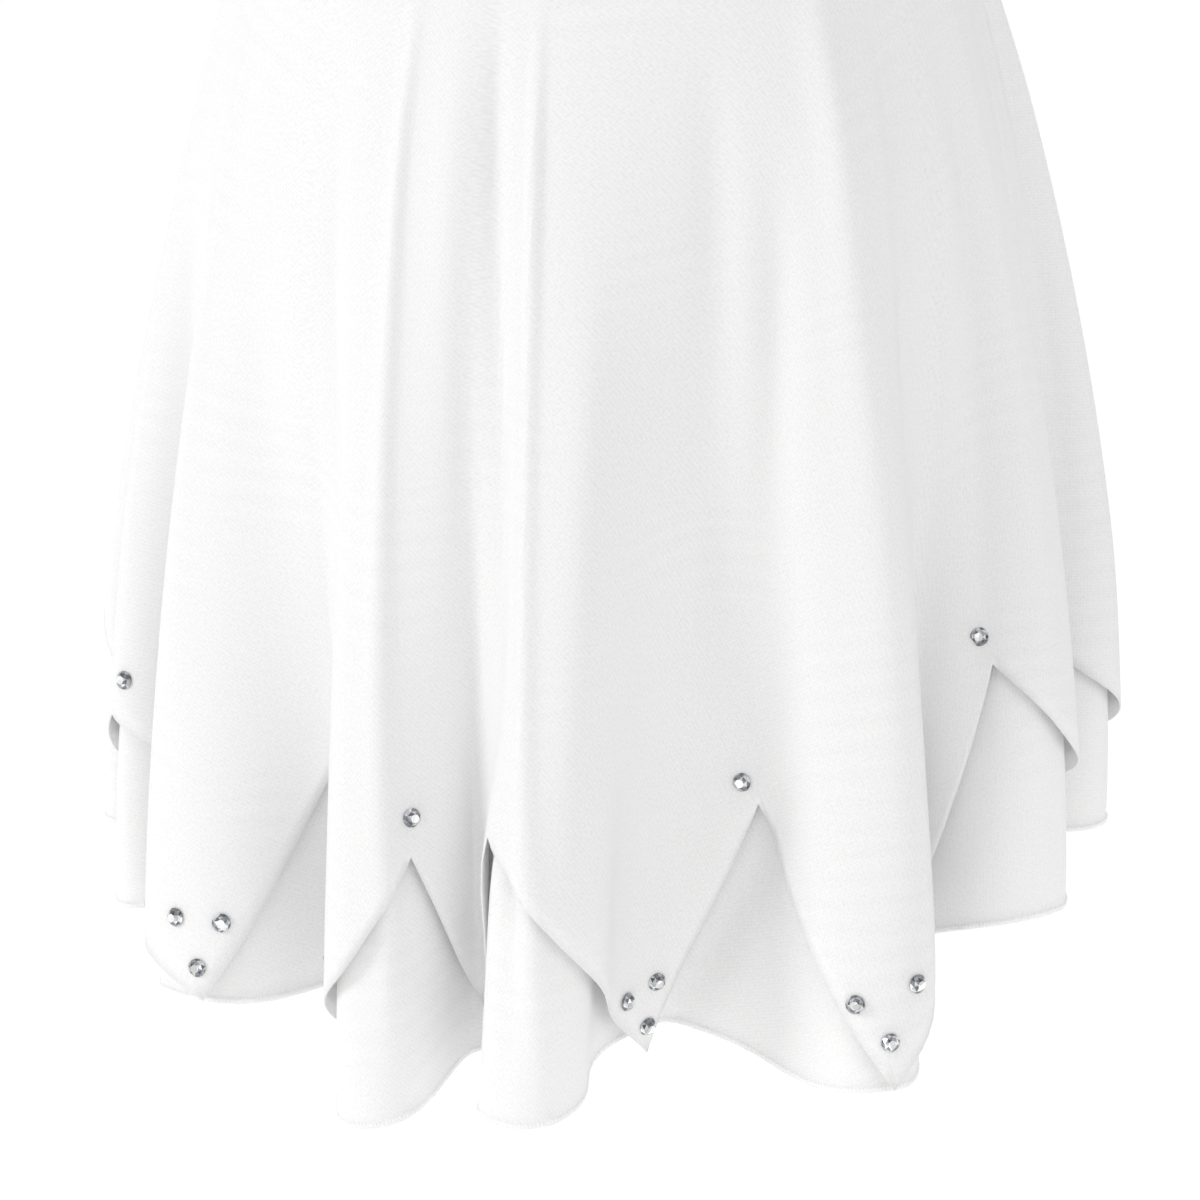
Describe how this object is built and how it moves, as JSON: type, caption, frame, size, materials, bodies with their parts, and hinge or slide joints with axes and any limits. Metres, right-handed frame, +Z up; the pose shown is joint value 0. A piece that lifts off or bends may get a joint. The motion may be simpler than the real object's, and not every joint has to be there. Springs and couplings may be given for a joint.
{
  "type": "figure skating dress",
  "caption": "Sleeveless skating dress with a scoop-neck bodice, a folded two-layer circle skirt with a zigzag upper edge and a rolled lower hem, and an attached brief.",
  "frame": {"origin": "midway between the tops of the two shoulders, where the wearer's shoulders hold the dress up", "axes": "+Z up along the body, -Y towards the front, +X towards the wearer's left"},
  "size_m": [0.3852, 0.3423, 0.8384],
  "materials": {
    "body_knit": "matt white four-way stretch knit",
    "skirt_knit": "matt white semi-sheer stretch knit, upper layer with a raw zigzag edge, under layer with a rolled hem"
  },
  "bodies": {
    "root": {"bodice_front": "body_knit", "bodice_back": "body_knit", "skirt_outer": "skirt_knit", "skirt_under": "skirt_knit", "brief_front": "body_knit", "brief_back": "body_knit"}
  },
  "joints": []
}
